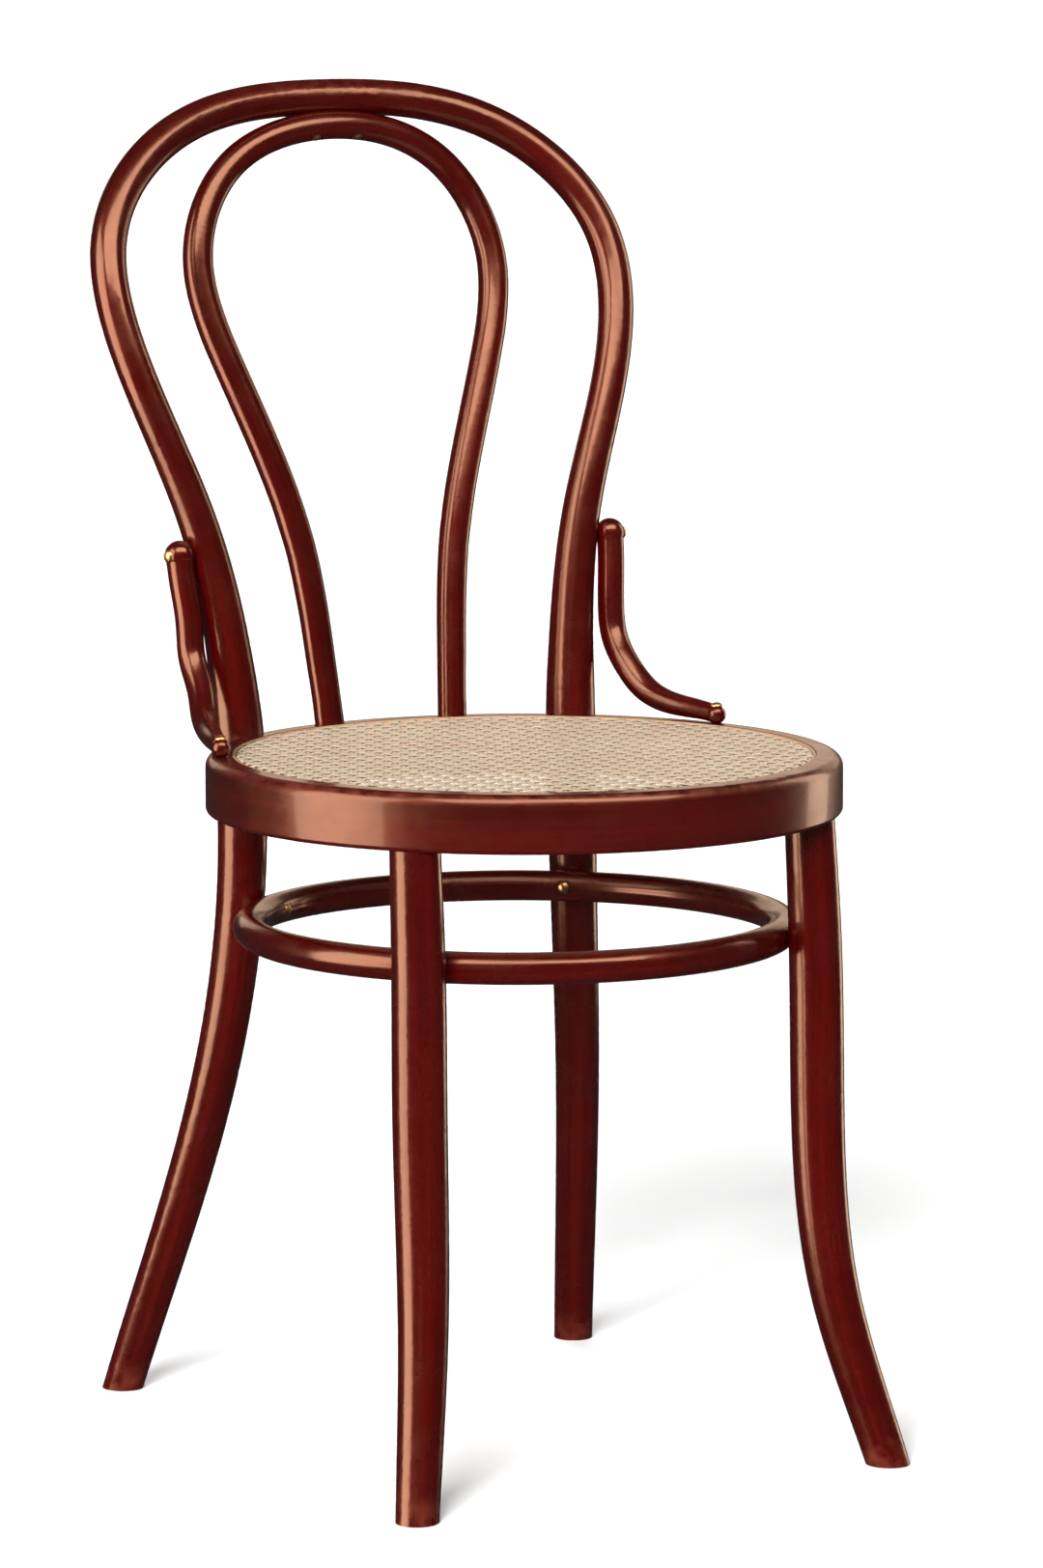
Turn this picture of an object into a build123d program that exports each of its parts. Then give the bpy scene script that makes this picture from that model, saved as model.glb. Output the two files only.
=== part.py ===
"""Bentwood side chair with a round caned seat.

Millimetres, +Z up. The origin is on the floor under the middle of the chair's bounding box.
The chair faces -Y, so its back is towards +Y. Left and right are as seen from the front:
left is -X.
"""

import os
from math import cos, pi, radians, sin

from build123d import *

os.makedirs("parts", exist_ok=True)

# Seat ring
seat_height = 460.0        # floor to the top of the ring
seat_radius = 210.0        # outside of the ring
ring_height = 38.0
ring_width = 37.0
ring_crown = 8.0           # rounding of the upper outer edge
ring_ease = 3.5            # rounding of the other edges

# Cane panel and the spline that holds its edge
groove_inset = 19.7        # from the ring's outside to the middle of the groove
groove_width = 4.4
groove_depth = 8.0
cane_thickness = 1.6

# Back bow, one rod that runs from foot to foot over the back
bow_height = 892.0         # floor to the top of the bow
bow_half_width = 187.5     # chair's middle to the rod's middle where the bow is widest
bow_lean = 119.0           # how far the top stands behind the seat joints
bow_diameter = 24.6
bow_seat_diameter = 34.6
rear_foot_diameter = 27.0
bow_taper_height = 240.0   # over this height above the seat the rod thins to its back diameter
seat_joint_angle = 53.5    # from the chair's side line to a rear leg
seat_notch_depth = 15.8    # the ring is cut this deep for a rear leg

# Inner bow
inner_half_width = 111.5
inner_diameter = 21.4
inner_end_diameter = 19.5  # at its feet and its top
inner_foot_inset = 10.0    # from the ring's outside to the middle of a foot
inner_foot_angle = 76.6
inner_tenon_diameter = 11.0
inner_tenon_length = 14.0
crown_lean = 27.0          # from upright, where the two bows meet
crown_bite = 1.0           # the inner bow is hollowed this deep for the outer one

# Front legs
front_leg_angle = 41.0
front_top_diameter = 33.0
front_swell_diameter = 35.6
front_swell_height = 275.0
front_foot_diameter = 28.0
leg_tenon_diameter = 22.0
leg_tenon_length = 24.0
tenon_chamfer = 1.5
tenon_root = 1.0           # how far the inner bow's tenon is carried up into its rod

# Stretcher hoop
hoop_height = 343.0
hoop_radius = 177.0        # middle of the rod
hoop_diameter = 21.0
hoop_setback = 11.0        # the hoop's middle is this far behind the seat's
hoop_bite = 1.0            # the hoop is hollowed this deep for each leg
hoop_front_angle = 44.5
hoop_rear_angle = 51.1

# Side brackets
bracket_diameter = 18.4
bracket_head_diameter = 20.4
bracket_tip_diameter = 12.0
bracket_toe_diameter = 12.8
bracket_rise = 121.0       # seat to the middle of the head
bracket_gap = 3.0          # between the upright and the bow
bracket_bite = 0.8
bracket_tip_inset = 10.0   # from the ring's outside to the middle of the tip
bracket_tip_angle = 21.4
bracket_side_angle = 10.0  # how far forward of sideways a bracket stands off the bow
bracket_taper_start = 0.6  # share of a bracket's length where it starts to thin

# Fasteners
screw_head_diameter = 8.6
screw_head_height = 2.6
screw_slot_width = 1.04
screw_slot_depth = 1.3
screw_diameter = 4.2
screw_seat_depth = 1.2     # flat that is sunk in a round rod for a screw's head
hoop_screw_length = 34.0
crown_screw_length = 30.0
crown_screw_offset = 16.0
foot_screw_length = 48.0
foot_screw_recess = 4.0
bracket_screw_length = 30.0
bolt_diameter = 6.0
bolt_head_diameter = 15.0
bolt_head_height = 4.0
bolt_seat_depth = 2.2
bolt_spare_thread = 3.0
bolt_end_chamfer = 1.0
washer_diameter = 16.0
washer_thickness = 1.6
washer_seat_depth = 0.8
nut_across_flats = 10.0
nut_height = 5.0

fit = 0.15                 # clearance all round a seated or bored joint
below_floor = 12.0         # a leg is bent this much too long, then cut flat at the floor

# How the rods are bent. Rows of the bows: share of the half width, of the lean and of the rise
# between the seat and the top of the bow, from the seat upwards.
bow_bends = (
    (0.698, 0.072, 0.143),
    (0.778, 0.176, 0.334),
    (0.978, 0.372, 0.596),
    (0.994, 0.613, 0.787),
    (0.635, 0.897, 0.953),
)
inner_bends = (
    (0.530, 0.240, 0.300),
    (0.875, 0.566, 0.600),
    (0.997, 0.810, 0.787),
    (0.713, 0.975, 0.936),
)
# Rows of the legs: how far sideways and lengthways a leg stands out from where it meets the
# hoop, and the share of the hoop's height.
front_leg_bends = ((27.7, -51.3, 0.0), (6.4, -18.0, 0.32), (0.6, -2.7, 0.73))
rear_leg_bends = ((48.3, 89.9, 0.0), (12.6, 17.7, 0.64))
# Rows of a bracket's upright, from its head down: share of its rise, and how much wider than
# the bracket's gap it stands off the bow.
bracket_upright = ((0.83, 0.0), (0.64, 1.0), (0.45, 3.0))
# Rows of a bracket's bend: radius beyond the tip's, degrees behind the tip, height above the
# ring as a share of the bracket's own diameter.
bracket_bends = ((25.0, 22.7, 1.85), (16.5, 17.8, 0.90), (9.5, 12.5, 0.55), (4.0, 6.3, 0.44))

# Places worked out from the sizes above
ring_bottom = seat_height - ring_height
ring_middle = seat_height - ring_height / 2
seat_middle_radius = seat_radius - ring_width / 2
groove_radius = seat_radius - groove_inset
crown_height = bow_height - bow_diameter / 2
seat_joint_radius = seat_radius + bow_seat_diameter / 2 - seat_notch_depth
bow_back = seat_joint_radius * sin(radians(seat_joint_angle)) + bow_lean
seat_y = (seat_radius - bow_back - bow_diameter / 2) / 2
hoop_y = seat_y + hoop_setback
sides = ((-1, "left"), (1, "right"))


def around_seat(radius, angle, height):
    """Point at a radius from the seat's middle, its angle measured from the right-hand side."""
    return Vector(radius * cos(radians(angle)), seat_y + radius * sin(radians(angle)), height)


def out_from_hoop(radius, angle):
    """Point at the hoop's height, at a radius from the hoop's middle."""
    return Vector(radius * cos(radians(angle)), hoop_y + radius * sin(radians(angle)), hoop_height)


def mirrored(point):
    return Vector(-point.X, point.Y, point.Z)


def between(value, low, high):
    """Share of the way from low to high, held between 0 and 1."""
    return min(max((value - low) / (high - low), 0.0), 1.0)


def bow_girth(point, share=0.0):
    """Diameter of the back bow: a straight taper in the legs, a hollow one above the seat."""
    if point.Z < seat_height:
        return rear_foot_diameter + (bow_seat_diameter - rear_foot_diameter) * between(
            point.Z, 0, seat_height
        )
    left_to_thin = 1 - between(point.Z, seat_height, seat_height + bow_taper_height)
    return bow_diameter + (bow_seat_diameter - bow_diameter) * left_to_thin**2


def inner_girth(point, share=0.0):
    """Diameter of the inner bow: fullest at mid height."""
    rise = between(point.Z, seat_height, crown_height)
    return inner_end_diameter + (inner_diameter - inner_end_diameter) * sin(pi * rise)


def front_leg_girth(point, share=0.0):
    """Diameter of a front leg: a swell below the hoop, slimmer at the seat and the foot."""
    if point.Z < front_swell_height:
        rise = between(point.Z, 0, front_swell_height)
        return front_foot_diameter + (front_swell_diameter - front_foot_diameter) * sin(rise * pi / 2)
    rise = between(point.Z, front_swell_height, ring_bottom)
    return front_swell_diameter + (front_top_diameter - front_swell_diameter) * rise**2


def bracket_girth(point, share=0.0):
    """Diameter of a side bracket: even to its bend, then tapering along the seat ring."""
    return bracket_diameter + (bracket_tip_diameter - bracket_diameter) * between(
        share, bracket_taper_start, 1.0
    )


def bent_rod(route, girth, stations, growth=0.0):
    """Round rod through the points of a route, its diameter given at each place along it."""
    with BuildLine() as axis_line:
        Spline(*route)
    with BuildPart() as rod:
        for step in range(stations + 1):
            share = step / stations
            here = axis_line.line @ share
            along = axis_line.line % share
            with BuildSketch(Plane(origin=here, x_dir=(0, 1, 0), z_dir=along)):
                Circle(girth(here, share) / 2 + growth)
        loft()
    return rod.part


def bore(start, direction, diameter, depth):
    """Straight round cutter."""
    with BuildPart() as cutter:
        with BuildSketch(Plane(origin=start, z_dir=direction)):
            Circle(diameter / 2)
        extrude(amount=depth)
    return cutter.part


def wood_screw(seat, drive, length):
    """Slotted round-head screw. Its head bears on the seat point and its shank is driven in."""
    side = Vector(1, 0, 0) if abs(drive.Z) > 0.9 else drive.cross(Vector(0, 0, 1)).normalized()
    point_length = screw_diameter
    top = seat - drive * screw_head_height
    with BuildPart() as screw:
        with BuildSketch(Plane(origin=seat, x_dir=side, z_dir=side.cross(drive))):
            with BuildLine():
                TangentArc(
                    (0, -screw_head_height), (screw_head_diameter / 2, 0), tangent=(1, 0)
                )
                Polyline(
                    (screw_head_diameter / 2, 0),
                    (screw_diameter / 2, 0),
                    (screw_diameter / 2, length - point_length),
                    (0, length),
                    (0, -screw_head_height),
                )
            make_face()
        revolve(axis=Axis(seat, drive))
        with BuildSketch(Plane(origin=top, x_dir=side, z_dir=drive)):
            Rectangle(2 * screw_head_diameter, screw_slot_width)
        extrude(amount=screw_slot_depth, mode=Mode.SUBTRACT)
    return screw.part


def save(part, name):
    part.label = name
    export_step(part, f"parts/{name}.step")


def save_pair(part, name):
    """Write a right-hand piece, and its mirror image as the left-hand one."""
    save(part, f"{name}_right")
    with BuildPart() as other_hand:
        mirror(part, about=Plane.YZ)
    save(other_hand.part, f"{name}_left")


# Routes of the bent rods
hoop_leg_radius_front = (
    hoop_radius + hoop_diameter / 2 - hoop_bite
    + front_leg_girth(Vector(0, 0, hoop_height)) / 2
)
hoop_leg_radius_rear = (
    hoop_radius + hoop_diameter / 2 - hoop_bite + bow_girth(Vector(0, 0, hoop_height)) / 2
)
front_contact = out_from_hoop(hoop_leg_radius_front, -hoop_front_angle)
rear_contact = out_from_hoop(hoop_leg_radius_rear, hoop_rear_angle)
seat_joint = around_seat(seat_joint_radius, seat_joint_angle, ring_middle)


def leg_points(contact, bends):
    """The foot, carried on below the floor, and the points up to where the leg meets the hoop."""
    points = [
        Vector(contact.X + out, contact.Y + along, hoop_height * share)
        for out, along, share in bends
    ]
    heel = points[0] - points[1]
    return [points[0] + heel * (below_floor / -heel.Z)] + points + [contact]


rise = crown_height - seat_height
bow_right = leg_points(rear_contact, rear_leg_bends) + [seat_joint]
for wide, back, up in bow_bends:
    bow_right.append(
        Vector(bow_half_width * wide, seat_joint.Y + bow_lean * back, seat_height + rise * up)
    )
bow_top = Vector(0, seat_joint.Y + bow_lean, crown_height)
bow_route = bow_right + [bow_top] + [mirrored(point) for point in reversed(bow_right)]

crown_up = Vector(0, sin(radians(crown_lean)), cos(radians(crown_lean)))
inner_top = bow_top - crown_up * ((bow_diameter + inner_end_diameter) / 2 - crown_bite)
inner_foot = around_seat(seat_radius - inner_foot_inset, inner_foot_angle, seat_height)
inner_rise = inner_top.Z - seat_height
inner_lean = inner_top.Y - inner_foot.Y
inner_right = [
    Vector(inner_half_width * wide, inner_foot.Y + inner_lean * back, seat_height + inner_rise * up)
    for wide, back, up in inner_bends
]
foot_slope = inner_right[0] - inner_foot
inner_start = inner_foot - foot_slope * (ring_crown / foot_slope.Z)
inner_right = [inner_start, inner_foot] + inner_right
inner_route = inner_right + [inner_top] + [mirrored(point) for point in reversed(inner_right)]

front_top = around_seat(seat_middle_radius, -front_leg_angle, ring_bottom)
front_route = leg_points(front_contact, front_leg_bends) + [front_top]
front_rise = (front_top - front_contact).normalized()
front_route.append(front_top + front_rise * below_floor)

with BuildLine() as bow_axis:
    Spline(*bow_route)


def bow_at(height):
    """Middle of the right-hand half of the back bow at a height."""
    halvings = 40
    low, high = 0.0, 0.5
    for _ in range(halvings):
        middle = (low + high) / 2
        if (bow_axis.line @ middle).Z < height:
            low = middle
        else:
            high = middle
    return bow_axis.line @ low


outboard = Vector(
    cos(radians(bracket_side_angle)), -sin(radians(bracket_side_angle)), 0
)


def beside_bow(height, diameter, gap):
    """Middle of a rod that stands off the bow by a gap, or is let in by a negative one."""
    bow = bow_at(height)
    return bow + outboard * (bow_girth(bow) / 2 + diameter / 2 + gap)


bracket_head = beside_bow(seat_height + bracket_rise, bracket_head_diameter, -bracket_bite)
bracket_tip_radius = seat_radius - bracket_tip_inset
bracket_route = [
    beside_bow(seat_height + bracket_rise * share, bracket_diameter, bracket_gap + wider)
    for share, wider in bracket_upright
]
bracket_route.insert(0, bracket_head)
for beyond, behind, up in bracket_bends:
    bracket_route.append(
        around_seat(
            bracket_tip_radius + beyond,
            bracket_tip_angle + behind,
            seat_height + bracket_diameter * up,
        )
    )
bracket_tip = around_seat(
    bracket_tip_radius, bracket_tip_angle, seat_height + bracket_tip_diameter / 2 - 2 * fit
)
bracket_route.append(bracket_tip)


# Where the fasteners bear, and the way each is driven. Each list holds (name, seat, drive).
def screw_into_leg(angle, side):
    """A screw from the hoop's inner side, out through the hoop and into a leg."""
    drive = Vector(side * cos(radians(angle)), sin(radians(angle)), 0)
    hoop_middle = Vector(0, hoop_y, hoop_height)
    return hoop_middle + drive * (hoop_radius - hoop_diameter / 2 + screw_seat_depth), drive


front_hoop_screws = []
rear_hoop_screws = []
crown_screws = []
foot_screws = []
bracket_top_screws = []
bracket_foot_screws = []
seat_bolts = []
bolt_reach = seat_joint_radius + bow_girth(seat_joint) / 2 - bolt_seat_depth
washer_reach = seat_radius - ring_width + washer_seat_depth
for side, hand in sides:
    front_hoop_screws.append(
        (f"hoop_screw_front_{hand}", *screw_into_leg(-hoop_front_angle, side))
    )
    rear_hoop_screws.append(
        (f"hoop_screw_rear_{hand}", *screw_into_leg(hoop_rear_angle, side))
    )
    crown_seat = inner_top - crown_up * (inner_end_diameter / 2 - screw_seat_depth)
    crown_seat = crown_seat + Vector(side * crown_screw_offset, 0, 0)
    crown_screws.append((f"crown_screw_{hand}", crown_seat, crown_up))
    foot_seat = Vector(side * inner_foot.X, inner_foot.Y, ring_bottom + foot_screw_recess)
    foot_screws.append((f"foot_screw_{hand}", foot_seat, Vector(0, 0, 1)))
    inward = Vector(-side * outboard.X, -outboard.Y, 0)
    head = Vector(side * bracket_head.X, bracket_head.Y, bracket_head.Z)
    top_seat = head - inward * (bracket_head_diameter / 2 - screw_seat_depth)
    bracket_top_screws.append((f"bracket_top_screw_{hand}", top_seat, inward))
    tip = Vector(side * bracket_tip.X, bracket_tip.Y, seat_height + bracket_toe_diameter)
    bracket_foot_screws.append(
        (f"bracket_foot_screw_{hand}", tip - Vector(0, 0, screw_seat_depth), Vector(0, 0, -1))
    )
    outward = Vector(side * cos(radians(seat_joint_angle)), sin(radians(seat_joint_angle)), 0)
    seat_bolts.append((hand, outward))
seat_axis = Vector(0, seat_y, ring_middle)
outside = 30.0             # a cutter's reach beyond the surface it opens


def cut_for_screws(screws, length):
    """Pilot holes, with a flat for each screw's head that is open to the outside."""
    for _, seat, drive in screws:
        add(bore(seat, drive, screw_diameter + 2 * fit, length + fit), mode=Mode.SUBTRACT)
        add(bore(seat, -drive, screw_head_diameter + 2 * fit, outside), mode=Mode.SUBTRACT)


def cut_for_bolts():
    """Bolt holes through leg and ring, with a flat for each bolt head and each washer."""
    for _, outward in seat_bolts:
        head_seat = seat_axis + outward * bolt_reach
        washer_seat = seat_axis + outward * washer_reach
        add(bore(head_seat, -outward, bolt_diameter + 2 * fit, bolt_reach / 2), mode=Mode.SUBTRACT)
        add(bore(head_seat, outward, bolt_head_diameter + 2 * fit, outside), mode=Mode.SUBTRACT)
        add(bore(washer_seat, -outward, washer_diameter + 2 * fit, outside), mode=Mode.SUBTRACT)


# Back bow, with the rear legs
bow_stations = 64
bow_rod = bent_rod(bow_route, bow_girth, bow_stations)
bow_room = bent_rod(bow_route, bow_girth, bow_stations, growth=fit)
with BuildPart() as back_bow:
    add(bow_rod)
    split(bisect_by=Plane.XY, keep=Keep.TOP)
    cut_for_bolts()
    cut_for_screws(rear_hoop_screws, hoop_screw_length)
    cut_for_screws(crown_screws, crown_screw_length)
    cut_for_screws(bracket_top_screws, bracket_screw_length)
save(back_bow.part, "back_bow")

seat_section = Plane(origin=(0, seat_y, 0), x_dir=(1, 0, 0), z_dir=(0, -1, 0))
seat_turning_axis = Axis((0, seat_y, 0), (0, 0, 1))

# Seat ring: a turned rim with a groove for the cane, notched behind for the rear legs
ledge_height = seat_height - cane_thickness
groove_inside = groove_radius - groove_width / 2
groove_outside = groove_radius + groove_width / 2
with BuildPart() as seat_ring:
    with BuildSketch(seat_section):
        with BuildLine():
            Polyline(
                (seat_radius - ring_width, ring_bottom),
                (seat_radius, ring_bottom),
                (seat_radius, seat_height),
                (groove_outside, seat_height),
                (groove_outside, seat_height - groove_depth),
                (groove_inside, seat_height - groove_depth),
                (groove_inside, ledge_height),
                (seat_radius - ring_width, ledge_height),
                close=True,
            )
        make_face()
        corners = vertices().sort_by(Axis.X)
        fillet(corners[-2:].sort_by(Axis.Y)[-1], radius=ring_crown)
        rim_low = vertices().group_by(Axis.Y)[0]
        fillet(rim_low, radius=ring_ease)
        fillet(vertices().group_by(Axis.X)[0].sort_by(Axis.Y)[-1], radius=ring_ease)
    revolve(axis=seat_turning_axis)
    add(bow_room, mode=Mode.SUBTRACT)
    for side, _ in sides:
        tenon_foot = Vector(side * front_top.X, front_top.Y, ring_bottom)
        add(
            bore(tenon_foot, (0, 0, 1), leg_tenon_diameter + 2 * fit, leg_tenon_length + fit),
            mode=Mode.SUBTRACT,
        )
        inner_socket = Vector(side * inner_foot.X, inner_foot.Y, seat_height)
        add(
            bore(inner_socket, (0, 0, -1), inner_tenon_diameter + 2 * fit, inner_tenon_length + fit),
            mode=Mode.SUBTRACT,
        )
        add(
            bore(inner_socket, (0, 0, 1), inner_tenon_diameter, ring_crown),
            mode=Mode.SUBTRACT,
        )
    cut_for_bolts()
    cut_for_screws(foot_screws, foot_screw_length)
    cut_for_screws(bracket_foot_screws, bracket_screw_length)
save(seat_ring.part, "seat_ring")

# Caned panel: a flat disc on the ring's ledge, its edge turned down into the groove
with BuildPart() as seat_cane:
    with BuildSketch(seat_section):
        with BuildLine():
            Polyline(
                (0, ledge_height),
                (groove_inside + fit, ledge_height),
                (groove_inside + fit, seat_height - groove_depth + fit),
                (groove_inside + fit + cane_thickness, seat_height - groove_depth + fit),
                (groove_inside + fit + cane_thickness, seat_height),
                (0, seat_height),
                close=True,
            )
        make_face()
    revolve(axis=seat_turning_axis)
save(seat_cane.part, "seat_cane")

# Spline: the ring of reed that wedges the cane's edge in its groove
spline_inside = groove_inside + cane_thickness + 2 * fit
with BuildPart() as cane_spline:
    with BuildSketch(seat_section):
        with BuildLine():
            Polyline(
                (spline_inside, seat_height - groove_depth + fit),
                (groove_outside - fit, seat_height - groove_depth + fit),
                (groove_outside - fit, seat_height - fit),
                (spline_inside, seat_height - fit),
                close=True,
            )
        make_face()
        fillet(vertices().group_by(Axis.Y)[-1], radius=(groove_outside - spline_inside) / 4)
    revolve(axis=seat_turning_axis)
save(cane_spline.part, "cane_spline")

# Front legs, each with a shoulder under the ring and a round tenon in it
leg_stations = 26
with BuildPart() as front_leg:
    add(bent_rod(front_route, front_leg_girth, leg_stations))
    split(bisect_by=Plane.XY, keep=Keep.TOP)
    split(bisect_by=Plane.XY.offset(ring_bottom), keep=Keep.BOTTOM)
    with BuildSketch(Plane((front_top.X, front_top.Y, ring_bottom))):
        Circle(leg_tenon_diameter / 2)
    extrude(amount=leg_tenon_length)
    chamfer(edges().sort_by(Axis.Z)[-1], length=tenon_chamfer)
    cut_for_screws(front_hoop_screws, hoop_screw_length)
save_pair(front_leg.part, "front_leg")

def planed_flat(seat, drive):
    """Cutter for a flat across the hoop's inner side, as wide as a screw's head."""
    with BuildPart() as cutter:
        with BuildSketch(Plane(origin=seat, x_dir=(0, 0, 1), z_dir=-drive)):
            Rectangle(hoop_diameter, screw_head_diameter + 2 * fit)
        extrude(amount=hoop_diameter / 2)
    return cutter.part


# Stretcher hoop, hollowed a little where each leg bears on it
with BuildPart() as stretcher_hoop:
    with BuildSketch(Plane(origin=(0, hoop_y, 0), x_dir=(1, 0, 0), z_dir=(0, -1, 0))):
        with Locations((hoop_radius, hoop_height)):
            Circle(hoop_diameter / 2)
    revolve(axis=Axis((0, hoop_y, 0), (0, 0, 1)))
    add(bow_room, mode=Mode.SUBTRACT)
    for side, _ in sides:
        route = [Vector(side * point.X, point.Y, point.Z) for point in front_route]
        add(bent_rod(route, front_leg_girth, leg_stations, growth=fit), mode=Mode.SUBTRACT)
    for _, seat, drive in front_hoop_screws + rear_hoop_screws:
        add(bore(seat, drive, screw_diameter + 2 * fit, hoop_screw_length), mode=Mode.SUBTRACT)
        add(planed_flat(seat, drive), mode=Mode.SUBTRACT)
save(stretcher_hoop.part, "stretcher_hoop")

# Inner bow: its feet are fitted over the ring's rounded edge, its top is hollowed for the bow
inner_stations = 44
with BuildPart() as ring_blank:
    with BuildSketch(Plane.XY.offset(ring_bottom)):
        with Locations((0, seat_y)):
            Circle(seat_radius)
    extrude(amount=ring_height)
    fillet(edges().group_by(Axis.Z)[-1], radius=ring_crown)
with BuildPart() as inner_bow:
    add(bent_rod(inner_route, inner_girth, inner_stations))
    add(ring_blank.part, mode=Mode.SUBTRACT)
    for side, _ in sides:
        with BuildSketch(Plane((side * inner_foot.X, inner_foot.Y, seat_height + tenon_root))):
            Circle(inner_tenon_diameter / 2)
        extrude(amount=-inner_tenon_length - tenon_root)
    add(bow_room, mode=Mode.SUBTRACT)
    cut_for_screws(crown_screws, crown_screw_length)
    cut_for_screws(foot_screws, foot_screw_length)
save(inner_bow.part, "inner_bow")

# Side brackets, from the back bow down and forwards onto the ring
bracket_stations = 26
with BuildPart() as side_bracket:
    add(bent_rod(bracket_route, bracket_girth, bracket_stations))
    with Locations(bracket_head):
        Sphere(bracket_head_diameter / 2)
    with Locations(bracket_tip):
        Sphere(bracket_toe_diameter / 2)
    split(bisect_by=Plane.XY.offset(seat_height), keep=Keep.TOP)
    add(bow_room, mode=Mode.SUBTRACT)
    cut_for_screws(bracket_top_screws, bracket_screw_length)
    cut_for_screws(bracket_foot_screws, bracket_screw_length)
save_pair(side_bracket.part, "side_bracket")

# Wood screws
for screws, length in (
    (front_hoop_screws, hoop_screw_length),
    (rear_hoop_screws, hoop_screw_length),
    (crown_screws, crown_screw_length),
    (foot_screws, foot_screw_length),
    (bracket_top_screws, bracket_screw_length),
    (bracket_foot_screws, bracket_screw_length),
):
    for name, seat, drive in screws:
        save(wood_screw(seat, drive, length), name)

# Seat bolts, each with its washer and nut inside the ring
for hand, outward in seat_bolts:
    head_seat = seat_axis + outward * bolt_reach
    washer_seat = seat_axis + outward * washer_reach
    nut_seat = washer_seat - outward * washer_thickness
    shank_length = bolt_reach - washer_reach + washer_thickness + nut_height + bolt_spare_thread
    upright = Plane(origin=head_seat, x_dir=(0, 0, 1), z_dir=Vector(0, 0, 1).cross(outward))
    with BuildPart() as seat_bolt:
        with BuildSketch(upright):
            with BuildLine():
                TangentArc(
                    (0, bolt_head_height), (bolt_head_diameter / 2, 0), tangent=(1, 0)
                )
                Polyline(
                    (bolt_head_diameter / 2, 0),
                    (bolt_diameter / 2, 0),
                    (bolt_diameter / 2, bolt_end_chamfer - shank_length),
                    (bolt_diameter / 2 - bolt_end_chamfer, -shank_length),
                    (0, -shank_length),
                    (0, bolt_head_height),
                )
            make_face()
        revolve(axis=Axis(head_seat, outward))
    save(seat_bolt.part, f"seat_bolt_{hand}")
    with BuildPart() as seat_washer:
        with BuildSketch(Plane(origin=washer_seat, z_dir=-outward)):
            Circle(washer_diameter / 2)
            Circle(bolt_diameter / 2 + fit, mode=Mode.SUBTRACT)
        extrude(amount=washer_thickness)
    save(seat_washer.part, f"seat_washer_{hand}")
    with BuildPart() as seat_nut:
        with BuildSketch(Plane(origin=nut_seat, x_dir=(0, 0, 1), z_dir=-outward)):
            RegularPolygon(nut_across_flats / 2, 6, major_radius=False)
            Circle(bolt_diameter / 2 + fit, mode=Mode.SUBTRACT)
        extrude(amount=nut_height)
    save(seat_nut.part, f"seat_nut_{hand}")
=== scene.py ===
import math

import bmesh
import bpy
import numpy as np
from mathutils import Matrix, Vector


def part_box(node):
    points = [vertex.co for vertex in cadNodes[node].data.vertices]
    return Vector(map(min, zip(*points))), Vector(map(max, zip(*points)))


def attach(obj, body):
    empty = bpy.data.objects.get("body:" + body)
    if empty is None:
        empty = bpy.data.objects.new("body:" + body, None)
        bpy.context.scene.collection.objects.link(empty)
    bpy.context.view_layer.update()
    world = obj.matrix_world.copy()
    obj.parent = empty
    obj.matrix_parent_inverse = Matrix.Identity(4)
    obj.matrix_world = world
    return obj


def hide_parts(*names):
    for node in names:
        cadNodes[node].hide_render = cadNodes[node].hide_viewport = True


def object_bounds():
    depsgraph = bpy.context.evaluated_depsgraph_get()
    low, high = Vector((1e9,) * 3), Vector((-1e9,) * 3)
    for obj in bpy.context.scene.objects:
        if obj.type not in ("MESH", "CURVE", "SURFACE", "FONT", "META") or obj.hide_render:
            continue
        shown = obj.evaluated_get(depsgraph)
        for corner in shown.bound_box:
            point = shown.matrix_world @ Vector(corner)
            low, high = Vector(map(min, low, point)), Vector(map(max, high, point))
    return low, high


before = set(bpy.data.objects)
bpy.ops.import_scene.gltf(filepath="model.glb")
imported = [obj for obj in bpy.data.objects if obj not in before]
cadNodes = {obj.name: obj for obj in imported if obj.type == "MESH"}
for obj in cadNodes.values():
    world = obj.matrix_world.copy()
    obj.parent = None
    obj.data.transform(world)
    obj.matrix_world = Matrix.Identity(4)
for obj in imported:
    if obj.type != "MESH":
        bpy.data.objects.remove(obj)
cadLow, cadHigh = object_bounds()
print("chair frame loaded,", len(cadNodes), "parts")


# Small helpers for node trees, used by the finishes and the Geometry Nodes alike
def addNode(tree, kind, inputs=None, **settings):
    made = tree.nodes.new(kind)
    for key, value in settings.items():
        setattr(made, key, value)
    for key, value in (inputs or {}).items():
        if isinstance(value, bpy.types.NodeSocket):
            tree.links.new(value, made.inputs[key])
        else:
            made.inputs[key].default_value = value
    return made


def calc(tree, operation, *values):
    return addNode(tree, "ShaderNodeMath", dict(enumerate(values)), operation=operation).outputs[0]


def plus(tree, first, second):
    return calc(tree, "ADD", first, second)


def minus(tree, first, second):
    return calc(tree, "SUBTRACT", first, second)


def times(tree, first, second):
    return calc(tree, "MULTIPLY", first, second)


def over(tree, first, second):
    return calc(tree, "DIVIDE", first, second)


def largest(tree, first, second):
    return calc(tree, "MAXIMUM", first, second)


def distanceFrom(tree, value, level):
    return calc(tree, "ABSOLUTE", minus(tree, value, level))


def ramp(tree, value, low, high, toLow=0.0, toHigh=1.0):
    inputs = {"Value": value, "From Min": low, "From Max": high, "To Min": toLow, "To Max": toHigh}
    return addNode(tree, "ShaderNodeMapRange", inputs).outputs["Result"]


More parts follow.
